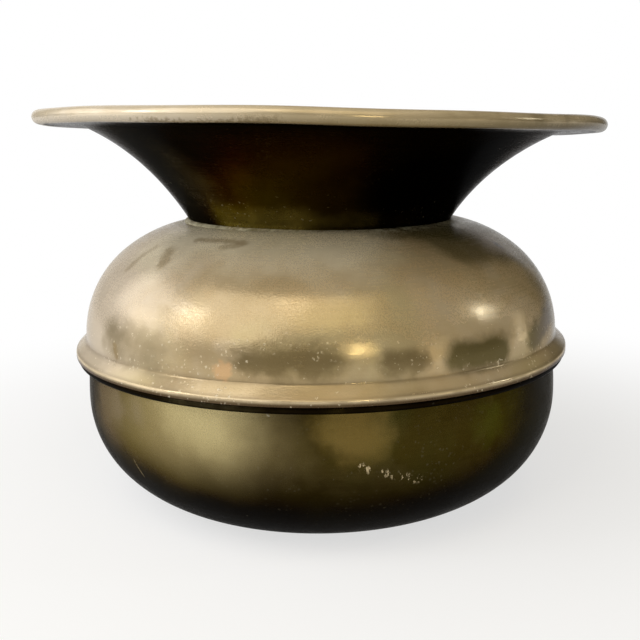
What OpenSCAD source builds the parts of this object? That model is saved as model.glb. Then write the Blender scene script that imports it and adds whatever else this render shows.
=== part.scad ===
// Brass spittoon with a wide soldered funnel, a domed shoulder and a rounded bowl.
// Every shell is spun sheet, drawn as a band of constant thickness and revolved about Z.
// Heights are from the table, radii from the axis. Angles of an outline are in its (r, z) plane.

/* [Sheet] */
// Thickness of the spun brass
sheet = 0.8; // [0.6:0.1:1]

/* [Mouth and funnel] */
// Diameter across the rolled rim
mouth_d = 254; // [240:1:280]
// Diameter of the wire inside the rolled rim
rim_wire_d = 4; // [3:0.2:5]
// Width of the flat lip, from its bend to the middle of the roll
lip_w = 15; // [8:1:20]
// Radius of the bend between the flare and the flat lip
lip_bend_r = 8; // [4:1:12]
// Height of the lip's underside above the neck's bend
flare_h = 42.2; // [38:0.2:56]
// Lean of the flare from upright, where it leaves the neck
flare_start = 31; // [24:1:36]

/* [Neck] */
// Diameter of the funnel where it enters the shoulder
neck_d = 121; // [108:0.5:130]
// Radius of the funnel's bend above the neck
neck_bend_r = 3; // [2:0.5:5]
// Length of the funnel's spigot below the neck
spigot_h = 9; // [6:0.5:14]
// Height of the shoulder's collar round the spigot
collar_h = 5; // [3:0.5:8]
// Radius of the shoulder's edge where it turns down into the collar
collar_bend_r = 1.6; // [1.4:0.1:2.4]
// How far the solder climbs the funnel past its bend
neck_solder_climb = 0.8; // [0.4:0.1:2]
// How far the solder spreads over the shoulder past its edge
neck_solder_spread = 1.2; // [0.6:0.1:3]

/* [Shoulder] */
// Height of the dome's widest line above the belt's edge
shoulder_rise = 6.9; // [3:0.1:9]
// Radius of the dome's side
shoulder_r = 48.7; // [42:0.1:56]
// Radius of the dome's crown
crown_r = 61.4; // [56:0.2:80]
// Angle of the outline at which the side passes into the crown
crown_start = 52; // [45:1:58]

/* [Belt] */
// Diameter of the skirt's edge, the widest line of the body
belt_d = 230; // [210:1:250]
// Height of the skirt's edge above the table
belt_z = 68.5; // [66:0.5:80]
// How far the skirt's edge stands out past the dome
skirt_out = 4.8; // [3.6:0.1:6]
// Height of the skirt's upright edge
skirt_edge_h = 1.6; // [1.5:0.1:3]
// Lean of the skirt from upright
skirt_lean = 45; // [36:1:48]
// Radius of the hollow between the dome and the skirt
skirt_hollow_r = 2; // [1:0.5:4]
// Radius of the bend between the skirt and its upright edge
skirt_bend_r = 1.6; // [1.2:0.1:2.4]
// Angle round the bowl's curl that the solder inside the belt covers
belt_solder_angle = 150; // [110:5:160]
// How far the bowl's curled edge shows below the skirt
curl_show = 3.3; // [2.6:0.1:4]
// Inside radius of the bowl's curled edge
curl_r = 1; // [0.8:0.1:1.2]

/* [Bowl] */
// How far the bowl's widest line lies inside the skirt's edge
bowl_inset = 4.6; // [3.8:0.1:6]
// Radius of the bowl's round side, which is also the height of its widest line
bowl_r = 48.1; // [40:0.1:54]
// Radius of the nearly straight wall above the widest line
wall_r = 120; // [90:5:200]
// Radius of the bend between the wall and the curled edge
wall_bend_r = 1; // [0.5:0.1:2]
// Height by which the middle of the base is pushed up
push_up = 2.5; // [1.5:0.1:4]
// Diameter of the pushed-up middle at the table
push_up_d = 80; // [60:1:90]
// Width of the slope round the pushed-up middle
push_up_slope = 4; // [3:0.5:8]

/* [Weight] */
// Thickness of the iron ring in the base
weight_t = 8; // [5:0.5:10]
// How far the iron ring reaches past the flat of the base, under the bowl's round side
weight_reach = 17.7; // [10:0.1:19]
// Height of the false bottom's turned-up edge
cover_edge_h = 5; // [3:0.5:8]
// Leg of the solder bead that seals the false bottom
cover_bead = 1.6; // [1.2:0.1:2.4]

/* [Clearances] */
// Gap between the spigot and its collar
neck_gap = 0.15; // [0.05:0.05:0.3]
// Gap between the rim wire and the sheet rolled round it
wire_gap = 0.05; // [0.05:0.05:0.2]
// Gap between the skirt's upright edge and the bowl's curl
lap_gap = 0.1; // [0.05:0.05:0.3]
// Gap between the iron ring and the pushed-up middle of the base
weight_gap = 2; // [1:0.5:4]
// Gap between the iron ring's outer edge and the bowl's round side
weight_side_gap = 0.9; // [0.3:0.1:1.2]
// Gap between the false bottom and the bowl
cover_gap = 0.1; // [0.05:0.05:0.3]

/* [Hidden] */
$fn = 128;

// Finishes, as the metal shows
BRASS_DARK = [0.36, 0.28, 0.17];
BRASS_MID = [0.55, 0.45, 0.30];
BRASS_OLIVE = [0.42, 0.35, 0.22];
SOLDER_GREY = [0.66, 0.67, 0.60];
IRON_DARK = [0.22, 0.21, 0.20];

// Point at distance d from c, in the direction of angle a
function polar(c, d, a) = c + d * [cos(a), sin(a)];
// Angle of the direction from point p to point q
function heading(p, q) = atan2(q.y - p.y, q.x - p.x);

// Shoulder: the side's arc, then the crown's arc tangent to it, then the bend into the collar
side_c = [belt_d / 2 - skirt_out - shoulder_r, belt_z + shoulder_rise];
crown_c = polar(side_c, shoulder_r - crown_r, crown_start);
collar_in_r = neck_d / 2 + neck_gap;
collar_bend_x = collar_in_r + collar_bend_r;
collar_bend_c = [collar_bend_x,
                 crown_c.y + sqrt(pow(crown_r - collar_bend_r, 2) - pow(collar_bend_x - crown_c.x, 2))];
crown_end = heading(crown_c, collar_bend_c);
neck_z = collar_bend_c.y;

// Funnel: spigot, bend, flare, lip bend, flat lip, roll round the wire
roll_in_r = rim_wire_d / 2 + wire_gap;
roll_out_r = roll_in_r + sheet;
lip_z = neck_z + flare_h;
roll_c = [mouth_d / 2 - roll_out_r, lip_z + roll_out_r];
lip_bend_c = [roll_c.x - lip_w, lip_z - lip_bend_r];
neck_bend_c = [neck_d / 2 + neck_bend_r, neck_z];
// The flare is the arc that leaves the neck's bend at flare_start and meets the lip's bend
flare_from = polar(neck_bend_c, neck_bend_r, 180 - flare_start);
flare_in_from = polar(flare_from, lip_bend_r, -flare_start);
flare_chord = norm(lip_bend_c - flare_in_from);
flare_chord_lean = 90 - heading(flare_in_from, lip_bend_c);
flare_end = 2 * flare_chord_lean - flare_start;
flare_r = lip_bend_r + flare_chord / (2 * sin(flare_chord_lean - flare_start));
flare_c = polar(flare_from, flare_r, -flare_start);
// The roll's end stops this angle short of the lip it would touch
roll_stop_angle = 12;
roll_end = 180 + asin(roll_in_r / roll_out_r) - roll_stop_angle;

// Skirt: a straight slope between the hollow under the dome and the bend at its upright edge
skirt_bend_c = [belt_d / 2 - skirt_bend_r, belt_z + skirt_edge_h];
skirt_low = polar(skirt_bend_c, skirt_bend_r, skirt_lean);
skirt_normal = [cos(skirt_lean), sin(skirt_lean)];
skirt_reach = skirt_normal * (skirt_low - side_c) + skirt_hollow_r;
skirt_top_angle = skirt_lean - acos(skirt_reach / (shoulder_r + skirt_hollow_r));
skirt_hollow_c = polar(side_c, shoulder_r + skirt_hollow_r, skirt_top_angle);
skirt_high = polar(skirt_hollow_c, skirt_hollow_r, 180 + skirt_lean);

// Bowl: flat base, round side, nearly straight wall, bend, curled edge inside the skirt
bowl_wide_r = belt_d / 2 - bowl_inset;
side_low_c = [bowl_wide_r - bowl_r, bowl_r];
curl_out_r = curl_r + sheet;
curl_c = [belt_d / 2 - sheet - lap_gap - curl_out_r, belt_z - curl_show + curl_out_r];
wall_c = [bowl_wide_r - wall_r, bowl_r];
wall_bend_z = curl_c.y - curl_out_r - wall_bend_r;
wall_top_angle = asin((wall_bend_z - wall_c.y) / (wall_r + wall_bend_r));
wall_bend_c = polar(wall_c, wall_r + wall_bend_r, wall_top_angle);
// The curl's end stops this angle short of the wall it would touch
curl_stop_angle = 14;
curl_end = 180 + asin(curl_r / curl_out_r) - curl_stop_angle;

// Iron ring and false bottom, carried by the bowl's floor
weight_top_z = sheet + weight_t;
weight_bore_r = push_up_d / 2 + weight_gap;
weight_out_r = side_low_c.x + weight_reach;
weight_edge_z = side_low_c.y - sqrt(pow(bowl_r - sheet - weight_side_gap, 2) - pow(weight_reach, 2));
// The ring's foot stops this far short of where the base turns up
weight_foot_inset = 0.8;
cover_arc_r = bowl_r - sheet - cover_gap;
cover_floor_angle = asin((weight_top_z - side_low_c.y) / cover_arc_r);
cover_edge_angle = asin((weight_top_z + sheet + cover_edge_h - side_low_c.y) / cover_arc_r);

// The furthest that a chord may stray from its arc
arc_error = 0.015;
// Points along an arc about c
function arc(c, r, a_from, a_to) =
    let (steps = ceil(abs(a_to - a_from) / (2 * acos(1 - arc_error / r))))
    [for (i = [0:steps]) polar(c, r, a_from + (a_to - a_from) * i / max(steps, 1))];

// A stretch of a shell's path is [centre, radius, first angle, last angle, side]: an arc of its
// outer face. The sheet lies outside the arc where side is 1, and inside it where side is -1.
// An arc that turns by nothing is a corner or an end, and straight stretches join arc to arc.
function face(path, depth) = [for (s = path) each arc(s[0], s[1] + s[4] * depth, s[2], s[3])];
// A corner of the sheet whose thickness is measured straight up
function floor_corner(p) = [p + [0, 1], 1, -90, -90, -1];
function reversed(points) = [for (i = [len(points) - 1:-1:0]) points[i]];
// The same outline without the doubled points where one arc passes into the next
function without_doubles(points) =
    [for (i = [0:len(points) - 1])
        if (norm(points[i] - points[(i + 1) % len(points)]) > arc_error) points[i]];
// The closed outline of a sheet that follows a path
function sheet_outline(path) =
    without_doubles(concat(face(path, 0), reversed(face(path, sheet))));

funnel_path = [
    [neck_bend_c - [0, spigot_h], neck_bend_r, 180, 180, 1],
    [neck_bend_c, neck_bend_r, 180, 180 - flare_start, 1],
    [flare_c, flare_r, 180 - flare_start, 180 - flare_end, 1],
    [lip_bend_c, lip_bend_r, 180 - flare_end, 90, 1],
    [roll_c, roll_out_r, -90, roll_end, -1]
];

shoulder_path = [
    [collar_bend_c - [0, collar_h], collar_bend_r, 180, 180, -1],
    [collar_bend_c, collar_bend_r, 180, crown_end, -1],
    [crown_c, crown_r, crown_end, crown_start, -1],
    [side_c, shoulder_r, crown_start, skirt_top_angle, -1],
    [skirt_hollow_c, skirt_hollow_r, 180 + skirt_top_angle, 180 + skirt_lean, 1],
    [skirt_bend_c, skirt_bend_r, skirt_lean, 0, -1],
    [skirt_bend_c - [0, skirt_edge_h], skirt_bend_r, 0, 0, -1]
];

bowl_path = [
    floor_corner([0, push_up]),
    floor_corner([push_up_d / 2 - push_up_slope, push_up]),
    floor_corner([push_up_d / 2, 0]),
    [side_low_c, bowl_r, -90, 0, -1],
    [wall_c, wall_r, 0, wall_top_angle, -1],
    [wall_bend_c, wall_bend_r, 180 + wall_top_angle, 90, 1],
    [curl_c, curl_out_r, -90, curl_end, -1]
];

cover_path = [
    floor_corner([0, weight_top_z]),
    [side_low_c, cover_arc_r, cover_floor_angle, cover_edge_angle, -1]
];

module funnel() {
    color(BRASS_DARK) rotate_extrude() polygon(sheet_outline(funnel_path));
}

module rim_wire() {
    color(IRON_DARK) rotate_extrude() translate(roll_c) circle(rim_wire_d / 2);
}

module shoulder_shell() {
    color(BRASS_MID) rotate_extrude() polygon(sheet_outline(shoulder_path));
}

module bowl_shell() {
    color(BRASS_OLIVE) rotate_extrude() polygon(sheet_outline(bowl_path));
}

// Fillet of solder in the groove between the funnel and the shoulder. Its outline runs through
// the middle of both sheets, which are then cut away.
module neck_solder() {
    half = sheet / 2;
    climb = flare_from + neck_solder_climb * [sin(flare_start), cos(flare_start)];
    toe_angle = crown_end - neck_solder_spread / crown_r * 180 / PI;
    color(SOLDER_GREY) rotate_extrude() difference() {
        polygon(concat(arc(neck_bend_c, neck_bend_r + half, 180 - flare_start, 180),
                       arc(collar_bend_c, collar_bend_r - half, 180, crown_end),
                       [polar(crown_c, crown_r - half, toe_angle), polar(crown_c, crown_r, toe_angle),
                        climb, polar(climb, half, 180 - flare_start)]));
        polygon(sheet_outline(funnel_path));
        polygon(sheet_outline(shoulder_path));
    }
}

// Solder run into the pocket between the skirt and the bowl's curl, drawn the same way. It ends
// level with the skirt's edge, so that it hardly shows from outside.
module belt_solder() {
    half = sheet / 2;
    low_angle = asin(min(1, (belt_z - curl_c.y) / curl_out_r));
    color(SOLDER_GREY) rotate_extrude() difference() {
        polygon(concat([polar(curl_c, curl_out_r, low_angle)],
                       arc(curl_c, curl_r + half, low_angle, belt_solder_angle),
                       [polar(skirt_high, half, 180 + skirt_lean), polar(skirt_low, half, 180 + skirt_lean),
                        [belt_d / 2 - half, skirt_bend_c.y], [belt_d / 2 - half, belt_z]]));
        polygon(sheet_outline(shoulder_path));
        polygon(sheet_outline(bowl_path));
    }
}

// Cast ring that lies on the flat of the base, clear of the round side and the pushed-up middle
module base_weight() {
    color(IRON_DARK) rotate_extrude()
        polygon([[weight_bore_r, sheet], [side_low_c.x - weight_foot_inset, sheet],
                 [weight_out_r, weight_edge_z], [weight_out_r, weight_top_z],
                 [weight_bore_r, weight_top_z]]);
}

// False bottom: a pan that rests on the iron ring, its edge turned up against the bowl
module weight_cover() {
    color(BRASS_MID) rotate_extrude() polygon(sheet_outline(cover_path));
}

// Bead along the top of the false bottom's edge, against the bowl
module cover_solder() {
    half = sheet / 2;
    bead_angle = cover_bead / bowl_r * 180 / PI;
    color(SOLDER_GREY) rotate_extrude() difference() {
        polygon([polar(side_low_c, cover_arc_r - sheet, cover_edge_angle),
                 polar(side_low_c, bowl_r - half, cover_edge_angle),
                 polar(side_low_c, bowl_r - half, cover_edge_angle + bead_angle),
                 polar(side_low_c, bowl_r - sheet, cover_edge_angle + bead_angle)]);
        polygon(sheet_outline(bowl_path));
    }
}

funnel();
rim_wire();
shoulder_shell();
bowl_shell();
neck_solder();
belt_solder();
base_weight();
weight_cover();
cover_solder();
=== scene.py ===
"""Looks of a tarnished brass spittoon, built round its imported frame. Lengths are in metres."""

import logging
import math
from dataclasses import dataclass
from enum import Enum

import bmesh
import bpy
import numpy as np
from mathutils import Matrix, Vector


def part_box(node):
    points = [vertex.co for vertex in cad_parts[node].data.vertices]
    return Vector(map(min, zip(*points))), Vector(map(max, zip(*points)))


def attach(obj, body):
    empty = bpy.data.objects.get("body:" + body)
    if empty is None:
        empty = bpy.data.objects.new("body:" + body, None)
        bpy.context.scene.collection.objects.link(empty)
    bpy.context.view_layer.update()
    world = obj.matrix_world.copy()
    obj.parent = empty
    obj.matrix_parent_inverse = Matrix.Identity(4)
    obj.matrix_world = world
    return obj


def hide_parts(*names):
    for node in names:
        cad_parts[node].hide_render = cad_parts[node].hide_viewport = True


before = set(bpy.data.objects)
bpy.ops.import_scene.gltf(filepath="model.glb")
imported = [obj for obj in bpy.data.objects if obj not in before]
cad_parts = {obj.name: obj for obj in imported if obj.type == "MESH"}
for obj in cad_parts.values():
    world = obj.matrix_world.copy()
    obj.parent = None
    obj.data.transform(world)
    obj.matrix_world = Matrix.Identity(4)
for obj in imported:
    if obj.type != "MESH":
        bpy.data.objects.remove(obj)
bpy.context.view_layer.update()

BODY = "root"
MM = 0.001
PHOTO_PX = 640
# Degrees between two points of an arc, at most
WIDEST_TURN = 9.0
# Points nearer than this are one
SAME_PLACE = 0.01 * MM
# Corners of the mesh nearer than this are merged, which closes a shell at the axis
MERGE_GAP = 0.002 * MM
LOG = logging.getLogger("spittoon")

Point = tuple[float, float]
Triple = tuple[float, float, float]
Colour = Triple
Material = bpy.types.Material
Socket = bpy.types.NodeSocket


def polar(centre: Point, distance: float, angle: float) -> Point:
    """Finds the point at a distance from a centre.

    Args:
        centre: the centre, as (radius, height).
        distance: how far the point lies from it.
        angle: the direction, in degrees from the outward radius towards up.

    Returns:
        The point, as (radius, height).
    """
    turn = math.radians(angle)
    return centre[0] + distance * math.cos(turn), centre[1] + distance * math.sin(turn)


def heading(start: Point, end: Point) -> float:
    """Finds the direction from one point to another.

    Args:
        start: the point looked from.
        end: the point looked at.

    Returns:
        The angle in degrees from the outward radius towards up.
    """
    return math.degrees(math.atan2(end[1] - start[1], end[0] - start[0]))


def smooth_step(values: np.ndarray, low: float, high: float) -> np.ndarray:
    """Rises smoothly from 0 to 1 between two values.

    Args:
        values: the numbers to look at.
        low: the value at which the result leaves 0.
        high: the value at which it reaches 1.

    Returns:
        An array of the same shape, from 0 to 1.
    """
    share = np.clip((values - low) / (high - low), 0.0, 1.0)
    return share * share * (3.0 - 2.0 * share)


@dataclass(frozen=True)
class Arc:
    """A stretch of a shell's outer face: an arc, or a corner where it turns by nothing."""

    centre: Point
    radius: float
    start: float
    end: float
    side: int

    def points(self, depth: float, step: float) -> list[Point]:
        """Lays points along the arc at one depth in the sheet.

        Args:
            depth: distance below the outer face.
            step: the longest stretch between two points.

        Returns:
            The points from the arc's start to its end.
        """
        radius = self.radius + self.side * depth
        turn = abs(self.end - self.start)
        count = max(math.ceil(math.radians(turn) * self.radius / step), math.ceil(turn / WIDEST_TURN))
        if count == 0:
            return [polar(self.centre, radius, self.start)]
        turns = (self.start + (self.end - self.start) * i / count for i in range(count + 1))
        return [polar(self.centre, radius, angle) for angle in turns]


def floor_corner(radius: float, height: float) -> Arc:
    """A corner of a level stretch, whose thickness is measured straight up.

    Args:
        radius: the corner's distance from the axis.
        height: the height of the outer face there.

    Returns:
        The corner as an arc that turns by nothing.
    """
    unit = 1.0
    return Arc((radius, height + unit), unit, -90.0, -90.0, -1)


class Face(Enum):
    """The two faces of a sheet."""

    OUTER = 0
    INNER = 1


@dataclass(frozen=True)
class Outline:
    """The outline of a spun sheet in the (radius, height) plane."""

    arcs: tuple[Arc, ...]
    sheet: float
    step: float = 1.5 * MM
    inner_step: float = 3.0 * MM

    def face(self, which: Face) -> list[Point]:
        """Lays points along one face, with the straight stretches divided too.

        Args:
            which: the face to follow.

        Returns:
            The points from the first arc to the last.
        """
        outer = which is Face.OUTER
        depth = 0.0 if outer else self.sheet
        step = self.step if outer else self.inner_step
        laid: list[Point] = []
        for arc in self.arcs:
            for point in arc.points(depth, step):
                if laid:
                    gap = math.dist(laid[-1], point)
                    if gap < SAME_PLACE:
                        continue
                    last = laid[-1]
                    count = math.ceil(gap / step)
                    laid += [
                        (
                            last[0] + (point[0] - last[0]) * i / count,
                            last[1] + (point[1] - last[1]) * i / count,
                        )
                        for i in range(1, count)
                    ]
                laid.append(point)
        return laid

    def walk(self) -> tuple[np.ndarray, np.ndarray]:
        """Walks round the whole outline, out along one face and back along the other.

        Returns:
            The points, and 0 or 1 at each for the outer or the inner face.
        """
        outer, inner = self.face(Face.OUTER), self.face(Face.INNER)[::-1]
        marks = [Face.OUTER.value] * len(outer) + [Face.INNER.value] * len(inner)
        return np.array(outer + inner), np.array(marks)


@dataclass(frozen=True)
class Dent:
    """A shallow dent: where it lies, how wide and how deep it is."""

    azimuth: float
    radius: float
    height: float
    width: float
    depth: float

    def push(self, points: np.ndarray) -> np.ndarray:
        """Pushes points towards the axis near the dent.

        Args:
            points: places in the row frame.

        Returns:
            How far each point moves, as vectors.
        """
        turn = math.radians(self.azimuth)
        out = np.array([math.cos(turn), math.sin(turn), 0.0])
        centre = out * self.radius + np.array([0.0, 0.0, self.height])
        near = np.linalg.norm(points - centre, axis=1)
        return -np.exp(-0.5 * (near / self.width) ** 2)[:, None] * self.depth * out


@dataclass(frozen=True)
class Wave:
    """One slow wave round the axis, which may turn as it climbs."""

    count: int
    phase: float
    share: float = 1.0
    climb: float = 0.0

    def at(self, turn: np.ndarray, height: np.ndarray) -> np.ndarray:
        """Finds the wave at some places.

        Args:
            turn: the angle round the axis at each place.
            height: the height of each place.

        Returns:
            The wave's value at each place.
        """
        return self.share * np.cos(self.count * turn + self.phase + self.climb * height)


@dataclass
class HandWear:
    """What a century of use did to the form: a leaning funnel, slow waves and dents.

    One field moves all the pieces, so pieces that touch stay together.
    """

    lean: float = math.radians(1.1)
    neck_z: float = 126.4 * MM
    wave: float = 0.22 * MM
    wave_full_r: float = 100.0 * MM
    rim_wave: float = 0.35 * MM
    rim_tip: float = 1.2 * MM
    flare_z: float = 132.0 * MM
    lip_z: float = 168.0 * MM
    foot_z: float = 4.0 * MM
    still_z: float = 24.0 * MM
    side_waves: tuple[Wave, ...] = (Wave(2, 0.7), Wave(3, 2.1, 0.6, 18.0), Wave(7, 0.3, 0.35, -25.0))
    rim_waves: tuple[Wave, ...] = (Wave(3, 1.0), Wave(5, 2.4, 0.5), Wave(11, 0.0, 0.3))
    dents: tuple[Dent, ...] = (
        Dent(-20.0, 92.0 * MM, 113.0 * MM, 7.0 * MM, 0.9 * MM),
        Dent(-47.0, 126.0 * MM, 169.0 * MM, 5.0 * MM, 0.5 * MM),
        Dent(-136.0, 106.0 * MM, 52.0 * MM, 11.0 * MM, 0.5 * MM),
        Dent(-62.0, 109.0 * MM, 84.0 * MM, 9.0 * MM, 0.45 * MM),
        Dent(48.0, 104.0 * MM, 96.0 * MM, 10.0 * MM, 0.8 * MM),
        Dent(122.0, 107.0 * MM, 44.0 * MM, 12.0 * MM, 0.9 * MM),
        Dent(171.0, 88.0 * MM, 116.0 * MM, 8.0 * MM, 0.6 * MM),
        Dent(95.0, 126.0 * MM, 170.0 * MM, 9.0 * MM, 0.6 * MM),
    )

    def apply(self, points: np.ndarray, leans: bool) -> np.ndarray:
        """Moves the points of a new piece to where wear has brought them.

        Args:
            points: places in the row frame of the piece as new.
            leans: whether the piece belongs to the leaning funnel.

        Returns:
            The places as they are now.
        """
        height = points[:, 2]
        turn = np.arctan2(points[:, 1], points[:, 0])
        reach = np.hypot(points[:, 0], points[:, 1])
        above_foot = smooth_step(height, self.foot_z, self.still_z)
        on_lip = smooth_step(height, self.flare_z, self.lip_z)
        swell = sum(wave.at(turn, height) for wave in self.side_waves)
        grow = self.wave * swell * above_foot * np.minimum(reach / self.wave_full_r, 1.0)
        moved = points.copy()
        moved[:, 0] += grow * np.cos(turn)
        moved[:, 1] += grow * np.sin(turn)
        moved[:, 2] += self.rim_wave * on_lip * sum(wave.at(turn, height) for wave in self.rim_waves)
        moved[:, 2] -= self.rim_tip * on_lip * np.cos(turn)
        for dent in self.dents:
            moved += dent.push(points)
        if leans:
            slope = np.sin(self.lean)
            along = moved[:, 0].copy()
            moved[:, 0] += slope * (moved[:, 2] - self.neck_z)
            moved[:, 2] -= slope * along
        return moved


@dataclass(frozen=True)
class Trace:
    """A soft ring along a shell where wear or grime gathers."""

    place: Point
    width: float
    amount: float = 1.0


def gather(points: np.ndarray, traces: tuple[Trace, ...]) -> np.ndarray:
    """Works out how much of something has gathered at each point of an outline.

    Args:
        points: places in the (radius, height) plane.
        traces: the rings where it gathers.

    Returns:
        The share at each point, from 0 to 1.
    """
    total = np.zeros(len(points))
    for trace in traces:
        near = np.linalg.norm(points - np.array(trace.place), axis=1)
        total = np.maximum(total, trace.amount * np.exp(-0.5 * (near / trace.width) ** 2))
    return total


def link_new(name: str, data: bpy.types.ID) -> bpy.types.Object:
    """Makes an object and links it to the scene.

    Args:
        name: the object's name.
        data: its mesh, light or camera.

    Returns:
        The new object.
    """
    thing = bpy.data.objects.new(name, data)
    bpy.context.scene.collection.objects.link(thing)
    return thing


@dataclass
class Turned:
    """Turns an outline about the axis into a mesh piece."""

    name: str
    segments: int = 288
    closed: bool = True
    sharp: float = 50.0

    def build(
        self,
        walk: np.ndarray,
        marks: np.ndarray,
        layers: dict[str, np.ndarray],
        wear: HandWear,
        leans: bool = False,
    ) -> bpy.types.Object:
        """Makes the object, its faces marked outer or inner and its layers of wear, dirt and painted shade.

        Args:
            walk: the outline's points, as radius and height.
            marks: 0 or 1 at each point, for the outer or the inner face.
            layers: values at each point of the outline, by the layer's name.
            wear: what use did to the form.
            leans: whether the piece leans with the funnel.

        Returns:
            The new object, linked to the scene.
        """
        ring = len(walk)
        turns = np.arange(self.segments) * (2 * math.pi / self.segments)
        places = np.empty((self.segments, ring, 3))
        places[:, :, 0] = np.cos(turns)[:, None] * walk[None, :, 0]
        places[:, :, 1] = np.sin(turns)[:, None] * walk[None, :, 0]
        places[:, :, 2] = walk[None, :, 1]
        places = wear.apply(places.reshape(-1, 3), leans)
        spans = ring if self.closed else ring - 1
        here = np.arange(self.segments)[:, None] * ring
        there = (np.arange(1, self.segments + 1) % self.segments)[:, None] * ring
        low = np.arange(spans)[None, :]
        high = (np.arange(1, spans + 1) % ring)[None, :]
        quads = np.stack([here + low, there + low, there + high, here + high], axis=-1)
        mesh = bpy.data.meshes.new(self.name)
        mesh.from_pydata(places.tolist(), [], quads.reshape(-1, 4).tolist())
        for title, values in layers.items():
            layer = mesh.attributes.new(title, "FLOAT", "POINT")
            layer.data.foreach_set("value", np.tile(values, self.segments).astype(np.float32))
        inner = np.maximum(marks[low[0]], marks[high[0]])
        mesh.polygons.foreach_set("material_index", np.tile(inner, self.segments).astype(np.int32))
        mesh.polygons.foreach_set("use_smooth", np.ones(len(mesh.polygons), bool))
        form = bmesh.new()
        form.from_mesh(mesh)
        bmesh.ops.remove_doubles(form, verts=form.verts, dist=MERGE_GAP)
        bmesh.ops.recalc_face_normals(form, faces=form.faces)
        form.to_mesh(mesh)
        form.free()
        mesh.set_sharp_from_angle(angle=math.radians(self.sharp))
        return link_new(self.name, mesh)


@dataclass(frozen=True)
class Pattern:
    """A noise over a surface: its features in a metre, finer layers, their strength, and its twist."""

    scale: float
    detail: float = 4.0
    rough: float = 0.55
    twist: float = 0.0


@dataclass(frozen=True)
class Specks:
    """Scattered specks: their places in a metre, the largest as a share of its room, how many."""

    scale: float
    size: float
    share: float


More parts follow.
